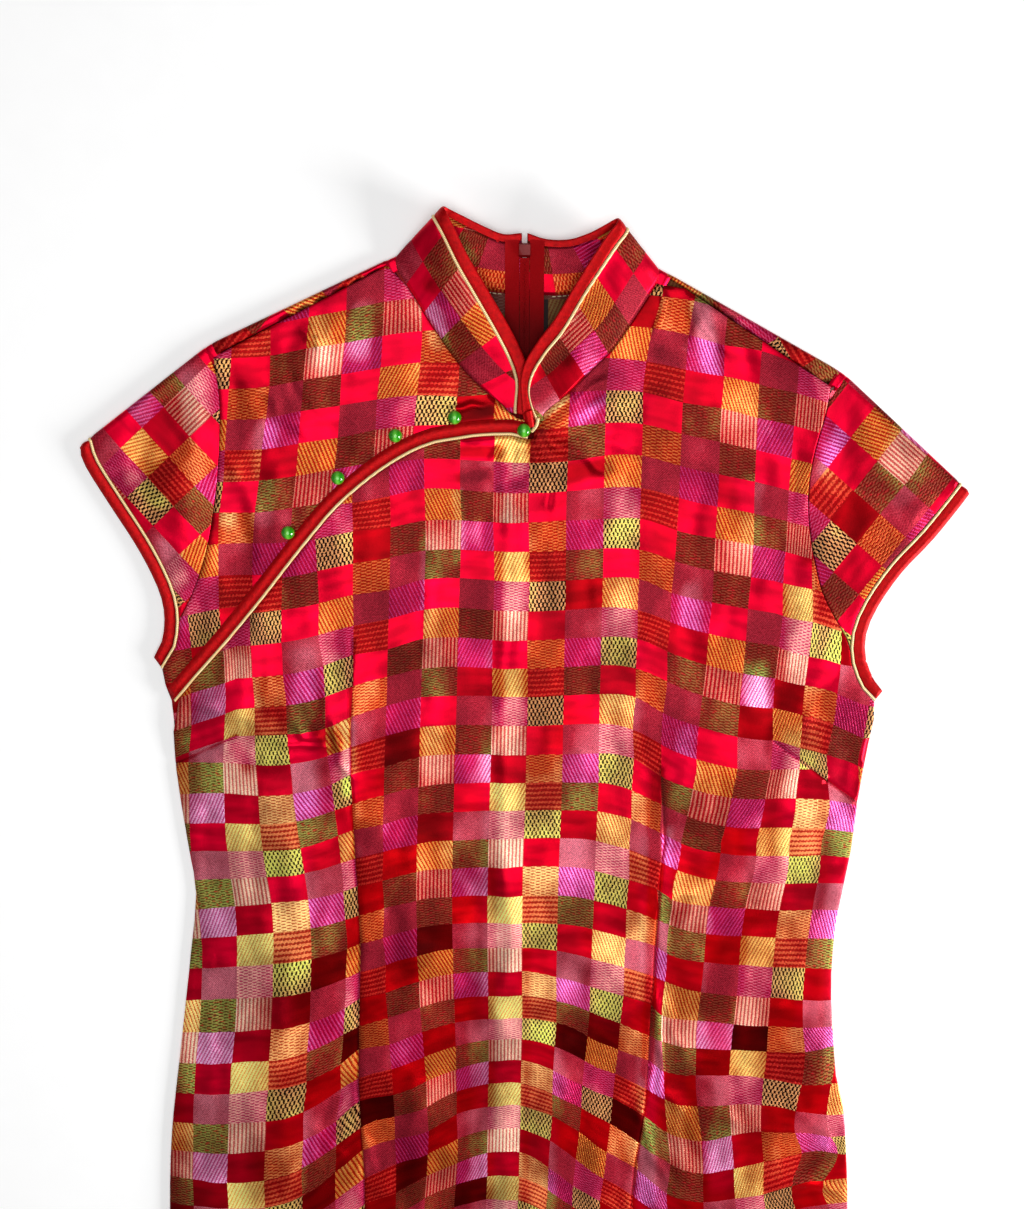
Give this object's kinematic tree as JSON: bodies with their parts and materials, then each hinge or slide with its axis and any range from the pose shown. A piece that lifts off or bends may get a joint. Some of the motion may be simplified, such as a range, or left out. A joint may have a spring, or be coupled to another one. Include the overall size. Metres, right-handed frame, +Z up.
{
  "type": "cheongsam dress",
  "caption": "Cheongsam laid flat, front up: fitted brocade dress with stand collar, bound slanting opening with beads, cap sleeves and back zip.",
  "frame": {"origin": "centre of the bounding box on the surface that the dress lies on", "axes": "+X to the right seen from above, +Y along the length towards the collar, +Z up from the surface"},
  "size_m": [0.5908, 0.9868, 0.0237],
  "materials": {
    "brocade": "silk brocade woven in small checks, satin sheen",
    "binding": "red satin, soft sheen",
    "piping": "gold satin cord",
    "bead": "polished green cat's-eye glass, opaque",
    "zip_tape": "dark red woven tape and coil",
    "zip_metal": "dark red enamel"
  },
  "bodies": {
    "dress": {"front_main": "brocade", "front_yoke": "brocade", "back_left": "brocade", "back_right": "brocade", "sleeve_left": "brocade", "sleeve_right": "brocade", "collar_left": "brocade", "collar_right": "brocade", "bind_opening": "binding", "bind_sleeve_left": "binding", "bind_sleeve_right": "binding", "bind_collar_left": "binding", "bind_collar_right": "binding", "pipe_opening": "piping", "pipe_sleeve_left": "piping", "pipe_sleeve_right": "piping", "pipe_collar_left": "piping", "pipe_collar_right": "piping", "bead_neck": "bead", "bead_1": "bead", "bead_2": "bead", "bead_3": "bead", "bead_4": "bead", "zip_tape_left": "zip_tape", "zip_tape_right": "zip_tape", "zip_coil": "zip_tape", "zip_slider": "zip_metal"},
    "pull_tab": {"zip_pull": "zip_metal"}
  },
  "joints": [
    {"name": "pull_tab_hinge", "type": "hinge", "parent": "dress", "child": "pull_tab", "pos_m": [-0.0015, 0.46565, 0.0022], "axis": [1, 0, 0], "range_deg": [0, 160]}
  ]
}
